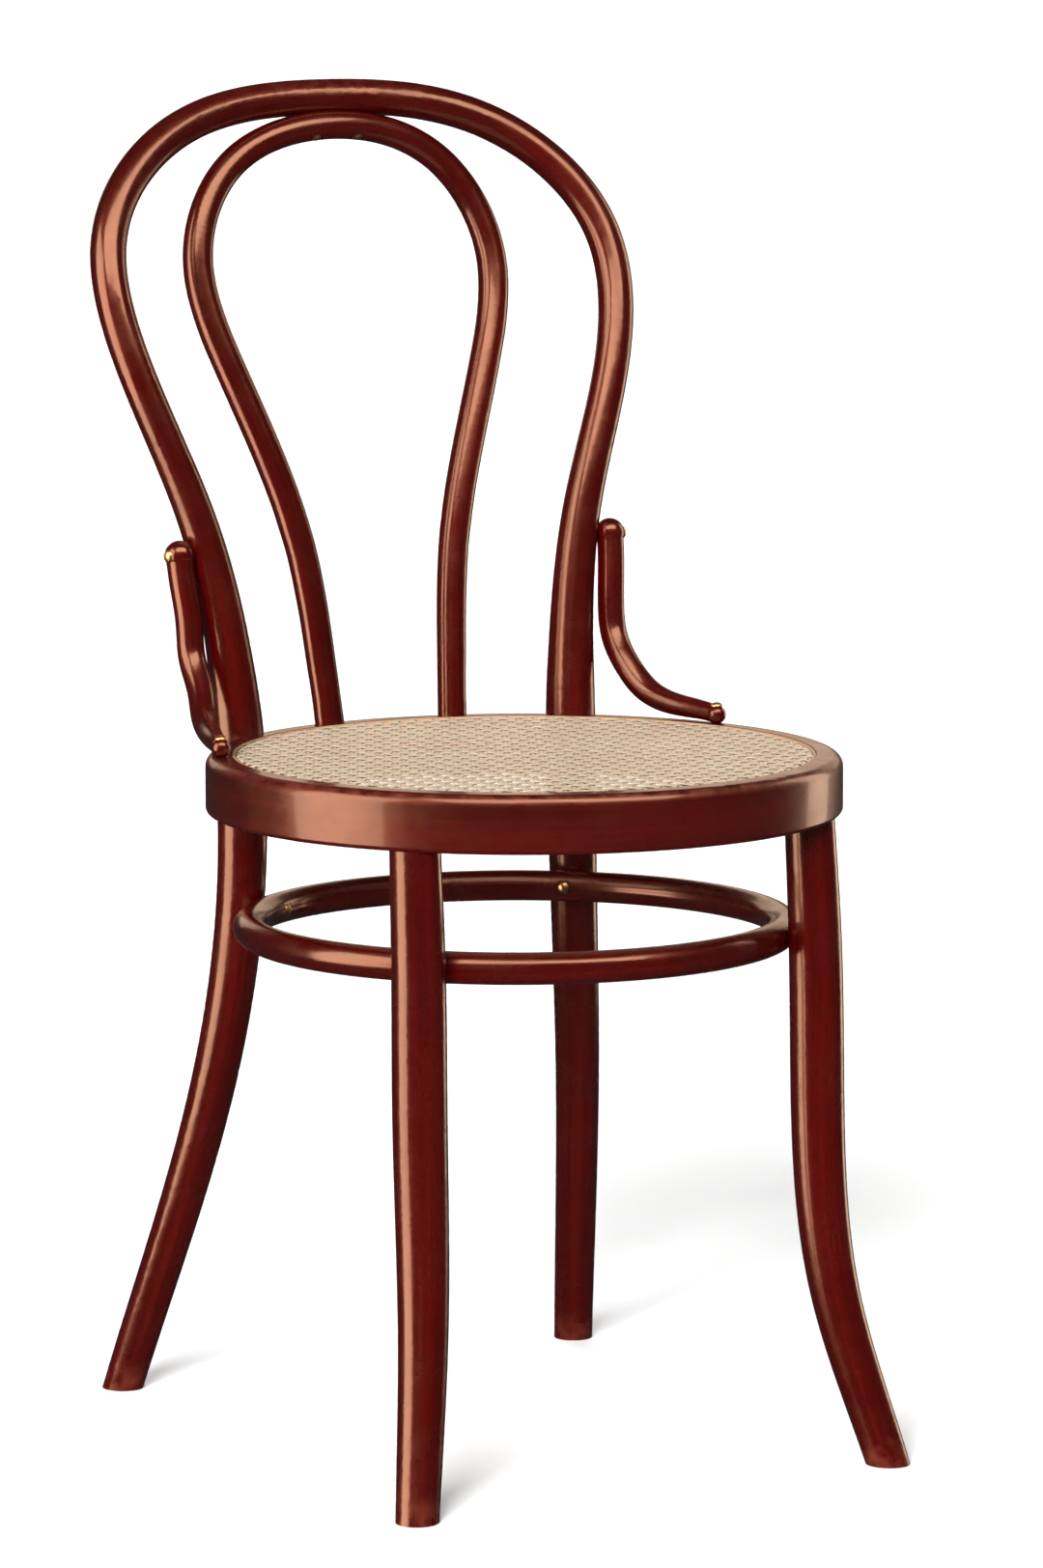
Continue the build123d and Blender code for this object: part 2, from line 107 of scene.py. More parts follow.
def blendColor(tree, share, first, second):
    inputs = {0: share, 6: first, 7: second}
    return addNode(tree, "ShaderNodeMix", inputs, data_type="RGBA").outputs[2]


def noiseOn(tree, vector, stretch, detail=1.0, roughness=0.5):
    inputs = {0: vector, 1: stretch}
    scaled = addNode(tree, "ShaderNodeVectorMath", inputs, operation="MULTIPLY").outputs[0]
    inputs = {"Vector": scaled, "Scale": 1.0, "Detail": detail, "Roughness": roughness}
    return addNode(tree, "ShaderNodeTexNoise", inputs).outputs["Fac"]


def vectorOf(tree, x=0.0, y=0.0, z=0.0):
    return addNode(tree, "ShaderNodeCombineXYZ", {0: x, 1: y, 2: z}).outputs[0]


def splitVector(tree, vector):
    return addNode(tree, "ShaderNodeSeparateXYZ", {0: vector}).outputs


def lengthOf(tree, vector):
    length = addNode(tree, "ShaderNodeVectorMath", {0: vector}, operation="LENGTH")
    return length.outputs["Value"]


mostNoise = (0.3, 0.7)  # nearly all of a noise pattern lies between these


def newFinish(name):
    finish = bpy.data.materials.new(name)
    finish.use_nodes = True
    tree = finish.node_tree
    return finish, tree, tree.nodes["Principled BSDF"]


def bumpOn(tree, height, strength, distance, under=None):
    inputs = {"Strength": strength, "Distance": distance, "Height": height}
    if under is not None:
        inputs["Normal"] = under
    return addNode(tree, "ShaderNodeBump", inputs).outputs[0]


# Lacquered beech. The grain attribute holds the place in a rod: across, across and along, in
# metres. A pattern is how fine it is in those three directions, its detail and its roughness, and
# a cover is the noise it starts and ends at, and how much of its colour it lays on there.
beech = {
    "deepRed": (0.020, 0.0002, 0.0002, 1),
    "warmRed": (0.050, 0.0008, 0.0007, 1),
    "fleck": (0.010, 0.0003, 0.0003, 1),
    # lighter colour of worn lacquer, which also paints a highlight on the seat ring's upper outer
    # edge
    "rubbedAndSheen": (0.150, 0.0260, 0.0130, 1),
    "specular": 0.8,
    "specularTint": (1.0, 0.60, 0.45, 1),
    "coat": 0.35,
    "coatRoughness": 0.09,
    "roughness": (0.19, 0.31),
    "ringDuller": 0.08,  # the seat ring is rubbed duller than the rods
    "ringFade": (0.005, 0.004),  # how far inside and outside the ring's edges that fades
    "streaks": ((260, 260, 5), 4, 0.6),
    "bands": ((75, 75, 2.2), 2, 0.5),
    "stain": ((22, 22, 9), 3, 0.55),
    "rayFlecks": ((1100, 1100, 160), 1, 0.5),
    "smears": ((38, 38, 38), 3, 0.6),
    "waviness": ((45, 45, 26), 2, 0.4),
    "streakShare": 0.6,
    "warmCover": (0.36, 0.64),
    "stainCover": (0.35, 0.75, 0.0, 0.55),
    "fleckCover": (0.60, 0.70, 0.0, 0.65),
    "wobble": (0.35, 0.0011),  # a bump's strength and its depth in metres
    "pores": (0.3, 0.00012),
}
wearAndSheen = {
    # The seat's upper outer edge is lighter for worn lacquer and for a painted highlight on its
    # rounding
    "edgeInset": 0.0035, "edgeFade": (0.0005, 0.0035),  # round the seat's upper outer edge
    "topInset": 0.002, "topFade": (0.002, 0.005),
    "footFade": (0.004, 0.022),
    "crownDepth": 0.012, "crownShare": 0.5,  # the top of the bow, where hands take it
    "patches": ((110, 110, 110), 3, 0.5), "patchSpread": (0.38, 0.70),
    "lighterAndSheen": 0.45, "rougher": 0.18,
}


# How worn each place is, with a painted highlight: the seat's upper edge is lighter for worn
# lacquer and for a painted highlight on its rounding, and the top of the bow and the feet are worn
def wornAndSheenPlaces(tree, place):
    x, y, z = splitVector(tree, place)
    low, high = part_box("seat_ring")
    middle = (low + high) / 2
    fromAxis = lengthOf(tree, vectorOf(tree, x, minus(tree, y, middle.y)))
    # The seat ring's upper outer edge: worn lacquer, and a painted highlight along its rounded top
    edge = distanceFrom(tree, fromAxis, high.x - wearAndSheen["edgeInset"])
    nearTop = distanceFrom(tree, z, high.z - wearAndSheen["topInset"])
    sheenAndWearRim = ramp(tree, edge, *wearAndSheen["edgeFade"], 1, 0)
    sheenAndWearEdge = times(tree, sheenAndWearRim, ramp(tree, nearTop, *wearAndSheen["topFade"], 1, 0))
    atFoot = ramp(tree, z, *wearAndSheen["footFade"], 1, 0)
    atTop = ramp(tree, z, cadHigh.z - wearAndSheen["crownDepth"], cadHigh.z, 0, wearAndSheen["crownShare"])
    patchy = ramp(tree, noiseOn(tree, place, *wearAndSheen["patches"]), *wearAndSheen["patchSpread"])
    return times(tree, largest(tree, largest(tree, sheenAndWearEdge, atFoot), atTop), patchy)


def ringDulling(tree, place):
    z = splitVector(tree, place)[2]
    low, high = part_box("seat_ring")
    half, (inside, outside) = (high.z - low.z) / 2, beech["ringFade"]
    offRing = distanceFrom(tree, z, (low.z + high.z) / 2)
    return ramp(tree, offRing, half - inside, half + outside, beech["ringDuller"], 0.0)


def lacqueredBeech():
    finish, tree, shader = newFinish("lacquered_beech")
    grain = addNode(tree, "ShaderNodeAttribute", attribute_name="grain").outputs["Vector"]
    place = addNode(tree, "ShaderNodeTexCoord").outputs["Object"]
    streak = noiseOn(tree, grain, *beech["streaks"])
    band = noiseOn(tree, grain, *beech["bands"])
    stain = noiseOn(tree, grain, *beech["stain"])
    fleck = noiseOn(tree, grain, *beech["rayFlecks"])
    wornAndSheen = wornAndSheenPlaces(tree, place)

    share = beech["streakShare"]
    body = plus(tree, times(tree, streak, share), times(tree, band, 1 - share))
    warm = ramp(tree, body, *beech["warmCover"])
    color = blendColor(tree, warm, beech["deepRed"], beech["warmRed"])
    color = blendColor(tree, ramp(tree, stain, *beech["stainCover"]), color, beech["deepRed"])
    color = blendColor(tree, ramp(tree, fleck, *beech["fleckCover"]), color, beech["fleck"])
    # Worn places take a lighter colour, and on the seat ring's upper outer edge this lighter
    # colour is also a painted highlight
    color = blendColor(tree, times(tree, wornAndSheen, wearAndSheen["lighterAndSheen"]), color, beech["rubbedAndSheen"])
    tree.links.new(color, shader.inputs["Base Color"])

    smear = noiseOn(tree, place, *beech["smears"])
    rough = ramp(tree, smear, *mostNoise, *beech["roughness"])
    rough = plus(tree, rough, times(tree, wornAndSheen, wearAndSheen["rougher"]))
    rough = plus(tree, rough, ringDulling(tree, place))
    tree.links.new(rough, shader.inputs["Roughness"])
    shader.inputs["Specular IOR Level"].default_value = beech["specular"]
    shader.inputs["Specular Tint"].default_value = beech["specularTint"]
    shader.inputs["Coat Weight"].default_value = beech["coat"]
    shader.inputs["Coat Roughness"].default_value = beech["coatRoughness"]

    wave = noiseOn(tree, grain, *beech["waviness"])
    wobble = bumpOn(tree, wave, *beech["wobble"])
    pores = bumpOn(tree, streak, *beech["pores"], wobble)
    tree.links.new(pores, shader.inputs["Normal"])
    return finish


# Cane and reed. The strand attribute holds the place along a strand, the strand's own chance
# number and the place across it, and the patterns are that fine in the same order.
cane = {
    "pale": (0.50, 0.42, 0.31, 1),
    "straw": (0.34, 0.26, 0.17, 1),
    "rosy": (0.42, 0.25, 0.19, 1),
    "grey": (0.30, 0.28, 0.22, 1),
    "knot": (0.20, 0.13, 0.07, 1),
    "roughness": (0.30, 0.48),
    "coat": 0.15,
}
reed = {
    "pale": (0.42, 0.27, 0.13, 1),
    "straw": (0.30, 0.17, 0.08, 1),
    "rosy": (0.34, 0.17, 0.10, 1),
    "grey": (0.24, 0.19, 0.11, 1),
    "knot": (0.12, 0.07, 0.04, 1),
    "roughness": (0.45, 0.62),
    "coat": 0.0,
}
fibres = {
    "fine": ((30, 900, 2600), 3, 0.6),
    "blotches": ((26, 400, 60), 3, 0.55),
    "toneSpread": 7.31,
    "knotsPerMetre": 4.3,
    "rosyCover": (0.35, 1.0, 0.0, 0.6),
    "greyCover": (0.48, 0.72, 0.0, 0.7),
    "knotCover": (0.0, 0.010, 0.75, 0.0),
    "coatRoughness": 0.25,
    "ridges": (0.5, 0.00006),
}


def splitCane(name, look):
    finish, tree, shader = newFinish(name)
    strand = addNode(tree, "ShaderNodeAttribute", attribute_name="strand").outputs["Vector"]
    along, chance, _ = splitVector(tree, strand)
    fibre = noiseOn(tree, strand, *fibres["fine"])
    blotch = noiseOn(tree, strand, *fibres["blotches"])
    tone = calc(tree, "FRACT", times(tree, chance, fibres["toneSpread"]))
    knot = calc(tree, "FRACT", plus(tree, times(tree, along, fibres["knotsPerMetre"]), chance))
    color = blendColor(tree, ramp(tree, fibre, *mostNoise), look["pale"], look["straw"])
    color = blendColor(tree, ramp(tree, tone, *fibres["rosyCover"]), color, look["rosy"])
    color = blendColor(tree, ramp(tree, blotch, *fibres["greyCover"]), color, look["grey"])
    color = blendColor(tree, ramp(tree, knot, *fibres["knotCover"]), color, look["knot"])
    tree.links.new(color, shader.inputs["Base Color"])
    rough = ramp(tree, blotch, *mostNoise, *look["roughness"])
    tree.links.new(rough, shader.inputs["Roughness"])
    shader.inputs["Coat Weight"].default_value = look["coat"]
    shader.inputs["Coat Roughness"].default_value = fibres["coatRoughness"]
    tree.links.new(bumpOn(tree, fibre, *fibres["ridges"]), shader.inputs["Normal"])
    return finish


brass = {
    "clean": (0.71, 0.50, 0.25, 1), "dull": (0.24, 0.14, 0.06, 1), "roughness": (0.24, 0.50)}
steel = {
    "clean": (0.50, 0.49, 0.47, 1), "dull": (0.17, 0.15, 0.13, 1), "roughness": (0.30, 0.55)}
metalMarks = {
    "clouds": ((420, 420, 420), 4, 0.6),
    "scratches": ((5200, 900, 900), 2, 0.5),
    "dullCover": (0.46, 0.70, 0.0, 0.8),
    "scratched": (0.25, 0.00004),
}


def agedMetal(name, look):
    finish, tree, shader = newFinish(name)
    place = addNode(tree, "ShaderNodeTexCoord").outputs["Object"]
    cloud = noiseOn(tree, place, *metalMarks["clouds"])
    scratch = noiseOn(tree, place, *metalMarks["scratches"])
    dulled = ramp(tree, cloud, *metalMarks["dullCover"])
    color = blendColor(tree, dulled, look["clean"], look["dull"])
    tree.links.new(color, shader.inputs["Base Color"])
    rough = ramp(tree, cloud, *mostNoise, *look["roughness"])
    tree.links.new(rough, shader.inputs["Roughness"])
    shader.inputs["Metallic"].default_value = 1.0
    tree.links.new(bumpOn(tree, scratch, *metalMarks["scratched"]), shader.inputs["Normal"])
    return finish


beechFinish = lacqueredBeech()
caneFinish = splitCane("split_cane", cane)
reedFinish = splitCane("split_reed", reed)
brassFinish = agedMetal("aged_brass", brass)
steelFinish = agedMetal("dull_steel", steel)
print("finishes made")


# Bent rods: each is the CAD rod with its seams merged, and the grain led along its own middle line
rods = {
    "mergeWithin": 2e-6, "sharpAngle": 32.0,
    "stride": 0.010, "mostStations": 400, "fewestPoints": 6, "steering": 0.6,
    "footSlice": 0.0005, "headSlice": 0.003, "headDepth": 0.002,
    "bowReach": 0.030, "innerReach": 0.022, "legReach": 0.032, "bracketReach": 0.018,
}


def seamlessCopy(node):
    mesh = cadNodes[node].data.copy()
    work = bmesh.new()
    work.from_mesh(mesh)
    bmesh.ops.remove_doubles(work, verts=work.verts, dist=rods["mergeWithin"])
    work.to_mesh(mesh)
    work.free()
    if "custom_normal" in mesh.attributes:
        mesh.attributes.remove(mesh.attributes["custom_normal"])
    mesh.shade_smooth()
    mesh.set_sharp_from_angle(angle=math.radians(rods["sharpAngle"]))
    mesh.materials.clear()
    return mesh


def vertexPlaces(mesh):
    places = np.empty(len(mesh.vertices) * 3, np.float32)
    mesh.vertices.foreach_get("co", places)
    return places.reshape(-1, 3).astype(float)


# Middle of the rod's cut by a plane: a circle is fitted to where the mesh's edges cross it
def cutMiddle(places, edges, point, heading, reach):
    height = (places - point) @ heading
    first, second = height[edges[:, 0]], height[edges[:, 1]]
    crossing = (first < 0) != (second < 0)
    if not crossing.any():
        return None
    pair, share = edges[crossing], (first / (first - second + 1e-30))[crossing]
    met = places[pair[:, 0]] * (1 - share[:, None]) + places[pair[:, 1]] * share[:, None]
    met = met[np.linalg.norm(met - point, axis=1) < reach]
    if len(met) < rods["fewestPoints"]:
        return None
    sideways = np.cross(heading, (0, 1, 0) if abs(heading[1]) < 0.9 else (1, 0, 0))
    sideways /= np.linalg.norm(sideways)
    other = np.cross(heading, sideways)
    across = np.c_[(met - point) @ sideways, (met - point) @ other]
    circle = np.c_[2 * across, np.ones(len(across))]
    fitted = np.linalg.lstsq(circle, (across**2).sum(1), rcond=None)[0]
    return point + sideways * fitted[0] + other * fitted[1]


def middleLine(mesh, start, heading, reach):
    places = vertexPlaces(mesh)
    edges = np.empty(len(mesh.edges) * 2, np.int32)
    mesh.edges.foreach_get("vertices", edges)
    edges = edges.reshape(-1, 2)
    line, heading = [np.array(start, float)], np.array(heading, float)
    for _ in range(rods["mostStations"]):
        guess = line[-1] + heading * rods["stride"]
        found = cutMiddle(places, edges, guess, heading, reach)
        if found is None or np.linalg.norm(found - guess) > reach:
            break
        step = found - line[-1]
        turned = step / np.linalg.norm(step) * rods["steering"]
        heading = turned + heading * (1 - rods["steering"])
        heading /= np.linalg.norm(heading)
        line.append(found)
    return np.array(line)


# Each vertex gets its place across and along the nearest run of the middle line
def grainAlong(mesh, line):
    places = vertexPlaces(mesh)
    runs = np.diff(line, axis=0)
    lengths = np.linalg.norm(runs, axis=1)
    travelled = np.r_[0, np.cumsum(lengths)]
    headings = runs / lengths[:, None]
    side = np.cross(headings[0], (0, 1, 0.3))
    sides = []
    for heading in headings:
        side = side - heading * (side @ heading)
        side = side / np.linalg.norm(side)
        sides.append(side)
    sides = np.array(sides)
    others = np.cross(headings, sides)
    best, grain = np.full(len(places), 1e9), np.zeros((len(places), 3))
    for i, heading in enumerate(headings):
        away = places - line[i]
        along = away @ heading
        low = -1.0 if i == 0 else 0.0
        high = 1.0 if i == len(headings) - 1 else lengths[i]
        gap = np.linalg.norm(away - np.clip(along, low, high)[:, None] * heading, axis=1)
        nearer = gap < best
        best[nearer] = gap[nearer]
        grain[nearer] = np.c_[away @ sides[i], away @ others[i], along + travelled[i]][nearer]
    attribute = mesh.attributes.new("grain", "FLOAT_VECTOR", "POINT")
    attribute.data.foreach_set("vector", grain.astype(np.float32).ravel())


# A hoop's grain runs round its axis, and meets itself at a joint at the back
def grainRound(mesh, axis, radius):
    places = vertexPlaces(mesh)
    corners = np.empty(len(mesh.loops), np.int32)
    mesh.loops.foreach_get("vertex_index", corners)
    out = places[corners] - np.array(axis)
    angle = np.arctan2(-out[:, 0], -out[:, 1])
    starts = np.repeat(angle.reshape(-1, 3)[:, 0], 3)
    angle = np.where(angle - starts > math.pi, angle - 2 * math.pi, angle)
    angle = np.where(angle - starts < -math.pi, angle + 2 * math.pi, angle)
    grain = np.c_[np.hypot(out[:, 0], out[:, 1]) - radius, out[:, 2], angle * radius]
    attribute = mesh.attributes.new("grain", "FLOAT_VECTOR", "CORNER")
    attribute.data.foreach_set("vector", grain.astype(np.float32).ravel())


def placePiece(name, mesh, finish, slot, *stoodFor):
    piece = bpy.data.objects.new(name, mesh)
    bpy.context.scene.collection.objects.link(piece)
    mesh.materials.clear()
    mesh.materials.append(finish)
    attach(piece, "root")
    if stoodFor:
        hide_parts(*stoodFor)


# A rod's middle line starts at the middle of its lowest cut end, on one side of the chair
def footMiddle(mesh, side, height):
    places = vertexPlaces(mesh)
    low = places[(places[:, 2] < height + rods["footSlice"]) & (places[:, 0] * side > 0)]
    return (low.min(0) + low.max(0)) / 2


def makeRod(name, node, side, height, reach):
    mesh = seamlessCopy(node)
    line = middleLine(mesh, footMiddle(mesh, side, height), (0, 0, 1), reach)
    grainAlong(mesh, line)
    print("rod", name, len(mesh.polygons), "faces,", len(line), "stations")
    placePiece(name, mesh, beechFinish, "beech", node)


# A bracket's starts in its round head and runs down to its foot on the ring
def makeBracket(name, node):
    mesh = seamlessCopy(node)
    places = vertexPlaces(mesh)
    head = places[places[:, 2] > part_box(node)[1].z - rods["headSlice"]]
    start = (head.min(0) + head.max(0)) / 2 - np.array((0, 0, rods["headDepth"]))
    line = middleLine(mesh, start, (0, 0, -1), rods["bracketReach"])
    grainAlong(mesh, line)
    print("bracket", name, len(mesh.polygons), "faces,", len(line), "stations")
    placePiece(name, mesh, beechFinish, "beech", node)


def makeHoop(name, node):
    low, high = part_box(node)
    mesh = seamlessCopy(node)
    grainRound(mesh, (low + high) / 2, (high.x - low.x) / 2 - (high.z - low.z) / 2)
    print("hoop", name, len(mesh.polygons), "faces")
    placePiece(name, mesh, beechFinish, "beech", node)


makeRod("bentBackBow", "back_bow", 1, 0.0, rods["bowReach"])
makeRod("bentInnerBow", "inner_bow", 1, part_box("inner_bow")[0].z, rods["innerReach"])
for hand, side in (("left", -1), ("right", 1)):
    makeRod("bentFrontLeg_" + hand, "front_leg_" + hand, side, 0.0, rods["legReach"])
    makeBracket("bentBracket_" + hand, "side_bracket_" + hand)
makeHoop("bentSeatRing", "seat_ring")
makeHoop("bentStretcherHoop", "stretcher_hoop")


# Geometry Nodes: named inputs, and a plain mesh out
def startTree(name, inputs):
    tree = bpy.data.node_groups.new(name, "GeometryNodeTree")
    tree.interface.new_socket("Geometry", in_out="OUTPUT", socket_type="NodeSocketGeometry")
    material = bpy.types.Material
    kinds = {float: "NodeSocketFloat", int: "NodeSocketInt", material: "NodeSocketMaterial"}
    for label, value in inputs.items():
        kind = kinds[type(value)]
        socket = tree.interface.new_socket(label, in_out="INPUT", socket_type=kind)
        if not isinstance(value, material):
            socket.default_value = value
    return tree, tree.nodes.new("NodeGroupInput").outputs


def endTree(tree, geometry, material):
    real = addNode(tree, "GeometryNodeRealizeInstances", {0: geometry}).outputs[0]
    inputs = {"Geometry": real, "Material": material}
    painted = addNode(tree, "GeometryNodeSetMaterial", inputs).outputs[0]
    addNode(tree, "NodeGroupOutput", {0: painted})


def positionIn(tree):
    return addNode(tree, "GeometryNodeInputPosition").outputs[0]


def keepValue(tree, geometry, name, value, kind="FLOAT"):
    inputs = {"Geometry": geometry, "Name": name, "Value": value}
    store = "GeometryNodeStoreNamedAttribute"
    return addNode(tree, store, inputs, data_type=kind, domain="POINT").outputs[0]


def keptValue(tree, name):
    inputs = {"Name": name}
    return addNode(tree, "GeometryNodeInputNamedAttribute", inputs, data_type="FLOAT").outputs[0]


def transformed(tree, geometry, **moves):
    return addNode(tree, "GeometryNodeTransform", {"Geometry": geometry, **moves}).outputs[0]


def smoothed(tree, geometry):
    return addNode(tree, "GeometryNodeSetShadeSmooth", {"Geometry": geometry}).outputs[0]


# A profile swept along a curve that keeps its face up
def sweep(tree, curve, profile):
    upright = addNode(tree, "GeometryNodeSetCurveNormal", {"Curve": curve})
    upright.mode = "Z_UP"
    inputs = {"Curve": upright.outputs[0], "Profile Curve": profile, "Fill Caps": True}
    return addNode(tree, "GeometryNodeCurveToMesh", inputs).outputs[0]


def meshFrom(tree, name, inputs):
    holder = bpy.data.objects.new(name, bpy.data.meshes.new(name + "Empty"))
    bpy.context.scene.collection.objects.link(holder)
    modifier = holder.modifiers.new("made", "NODES")
    modifier.node_group = tree
    for item in tree.interface.items_tree:
        if item.in_out == "INPUT" and item.name in inputs:
            modifier[item.identifier] = inputs[item.name]
    evaluated = holder.evaluated_get(bpy.context.evaluated_depsgraph_get())
    mesh = bpy.data.meshes.new_from_object(evaluated)
    bpy.data.objects.remove(holder)
    mesh.name = name
    return mesh


# Cane: pairs of strands each way and one diagonal strand each way, which leave eight-sided holes
caneLow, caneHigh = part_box("seat_cane")
weave = {
    "pitch": 0.0127,
    "pairHeight": 0.00044,
    "diagonalHeight": 0.00052,
    "stepsPerWave": 8,
    "straightLines": 31,
    "diagonalLines": 44,
    "edgeInset": 0.0020,
    "sunk": 0.00078,
    "strandSides": 6,
    "shortest": 0.0004,  # the square of half the shortest strand that is laid
    "bendLimit": 1.45,  # radians that an end turns down before it runs straight
    "wander": (9, 61, 1),
    "wanderShare": 3,
    "hair": 0.001,  # keeps a whole number from being rounded down, and a radius from nought
}
strandInputs = {
    "Lines": weave["straightLines"], "Strands Per Line": 2,
    "Pitch": weave["pitch"], "Pair Gap": 0.0028, "Width": 0.0024, "Thickness": 0.0005,
    "Wave Length": weave["pitch"], "Wave Height": weave["pairHeight"],
    "Wave Shift": -math.pi / 2, "Wave Shear": 0.0, "Step": weave["pitch"] / weave["stepsPerWave"],
    "Edge Radius": (caneHigh.x - caneLow.x) / 2 - weave["edgeInset"], "Edge Bend": 0.0016,
    "Edge Drop": 0.0035, "Turn": 0.0, "Level": caneHigh.z - weave["sunk"],
    "Centre X": (caneLow.x + caneHigh.x) / 2, "Centre Y": (caneLow.y + caneHigh.y) / 2,
    "Jitter": 0.00016, "Seed": 3, "Finish": caneFinish,
}
diagonalInputs = {
    **strandInputs, "Lines": weave["diagonalLines"], "Strands Per Line": 1,
    "Pitch": weave["pitch"] / math.sqrt(2), "Wave Length": weave["pitch"] * math.sqrt(2),
    "Wave Shift": 0.0, "Step": weave["pitch"] * math.sqrt(2) / weave["stepsPerWave"],
}


# One point for each strand, at its place across the panel, with its chance number
def strandPoints(tree, given):
    perLine = given["Strands Per Line"]
    inputs = {"Count": times(tree, given["Lines"], perLine)}
    points = addNode(tree, "GeometryNodePoints", inputs).outputs[0]
    index = addNode(tree, "GeometryNodeInputIndex").outputs[0]
    line = calc(tree, "FLOOR", plus(tree, over(tree, index, perLine), weave["hair"]))
    member = minus(tree, index, times(tree, line, perLine))
    fromMiddle = minus(tree, line, over(tree, minus(tree, given["Lines"], 1), 2))
    inPair = minus(tree, member, over(tree, minus(tree, perLine, 1), 2))
    random = addNode(
        tree, "FunctionNodeRandomValue", {"Seed": given["Seed"]}, data_type="FLOAT")
    chance = random.outputs[1]
    shake = times(tree, minus(tree, chance, 0.5), times(tree, given["Jitter"], 2))
    sideways = plus(
        tree, times(tree, fromMiddle, given["Pitch"]), times(tree, inPair, given["Pair Gap"]))
    inputs = {"Geometry": points, "Position": vectorOf(tree, y=plus(tree, sideways, shake))}
    placed = addNode(tree, "GeometryNodeSetPosition", inputs).outputs[0]
    placed = keepValue(tree, placed, "member", member)
    return keepValue(tree, placed, "chance", chance)


# Each strand is as long as its chord of the panel
def strandCurves(tree, given, points):
    drop = plus(tree, times(tree, given["Edge Bend"], math.pi / 2), given["Edge Drop"])
    full = plus(tree, given["Edge Radius"], drop)
    across = splitVector(tree, positionIn(tree))[1]
    inside = minus(tree, times(tree, full, full), times(tree, across, across))
    inputs = {"Geometry": points, "Selection": calc(tree, "LESS_THAN", inside, weave["shortest"])}
    kept = addNode(tree, "GeometryNodeDeleteGeometry", inputs, domain="POINT").outputs[0]
    half = calc(tree, "SQRT", largest(tree, inside, 0.0))
    ends = {"Start": (-1, 0, 0), "End": (1, 0, 0)}
    straight = addNode(tree, "GeometryNodeCurvePrimitiveLine", ends).outputs[0]
    inputs = {"Points": kept, "Instance": straight, "Scale": vectorOf(tree, half, 1.0, 1.0)}
    laid = addNode(tree, "GeometryNodeInstanceOnPoints", inputs).outputs[0]
    curves = addNode(tree, "GeometryNodeRealizeInstances", {0: laid}).outputs[0]
    inputs = {"Curve": curves, "Length": given["Step"]}
    return addNode(tree, "GeometryNodeResampleCurve", inputs, mode="LENGTH").outputs[0]


# The strands pass over and under one another, and their ends bend down into the groove
def wovenPlace(tree, given):
    now = positionIn(tree)
    x, y, _ = splitVector(tree, now)
    waves = over(
        tree, plus(tree, x, times(tree, y, given["Wave Shear"])), given["Wave Length"])
    turn = plus(tree, times(tree, waves, 2 * math.pi), given["Wave Shift"])
    turn = plus(tree, turn, times(tree, keptValue(tree, "member"), math.pi))
    rise = times(tree, calc(tree, "COSINE", turn), given["Wave Height"])

    edgeRadius, edgeBend, limit = given["Edge Radius"], given["Edge Bend"], weave["bendLimit"]
    radius = lengthOf(tree, now)
    beyond = largest(tree, minus(tree, radius, edgeRadius), 0.0)
    bend = calc(tree, "MINIMUM", over(tree, beyond, edgeBend), limit)
    newRadius = plus(
        tree, calc(tree, "MINIMUM", radius, edgeRadius),
        times(tree, calc(tree, "SINE", bend), edgeBend))
    fall = times(tree, minus(tree, 1.0, calc(tree, "COSINE", bend)), edgeBend)
    straightDown = minus(tree, beyond, times(tree, edgeBend, limit))
    fall = plus(tree, fall, largest(tree, straightDown, 0.0))
    pull = over(tree, newRadius, largest(tree, radius, weave["hair"]))
    calm = minus(tree, 1.0, over(tree, bend, limit))
    wander = minus(tree, noiseOn(tree, now, weave["wander"]), 0.5)
    drift = times(tree, wander, times(tree, given["Jitter"], weave["wanderShare"]))
    return vectorOf(
        tree, times(tree, x, pull),
        plus(tree, times(tree, y, pull), times(tree, drift, calm)),
        minus(tree, times(tree, rise, calm), fall))


def strandTree():
    tree, given = startTree("caneStrands", strandInputs)
    curves = strandCurves(tree, given, strandPoints(tree, given))
    length = addNode(tree, "GeometryNodeSplineParameter").outputs["Length"]
    curves = keepValue(tree, curves, "alongStrand", length)
    inputs = {"Geometry": curves, "Position": wovenPlace(tree, given)}
    woven = addNode(tree, "GeometryNodeSetPosition", inputs).outputs[0]

    # A flat strand with a crowned face
    inputs = {"Resolution": weave["strandSides"], "Radius": 0.5}
    profile = addNode(tree, "GeometryNodeCurvePrimitiveCircle", inputs).outputs[0]
    size = vectorOf(tree, given["Width"], given["Thickness"], 1.0)
    profile = transformed(tree, profile, Scale=size)
    profile = keepValue(tree, profile, "acrossStrand", splitVector(tree, positionIn(tree))[0])
    strands = sweep(tree, woven, profile)
    kept = [keptValue(tree, name) for name in ("alongStrand", "chance", "acrossStrand")]
    together = vectorOf(tree, *kept)
    strands = keepValue(tree, strands, "strand", together, "FLOAT_VECTOR")
    centre = vectorOf(tree, given["Centre X"], given["Centre Y"], given["Level"])
    turned = vectorOf(tree, z=given["Turn"])
    strands = transformed(tree, strands, Rotation=turned, Translation=centre)
    endTree(tree, smoothed(tree, strands), given["Finish"])
    return tree


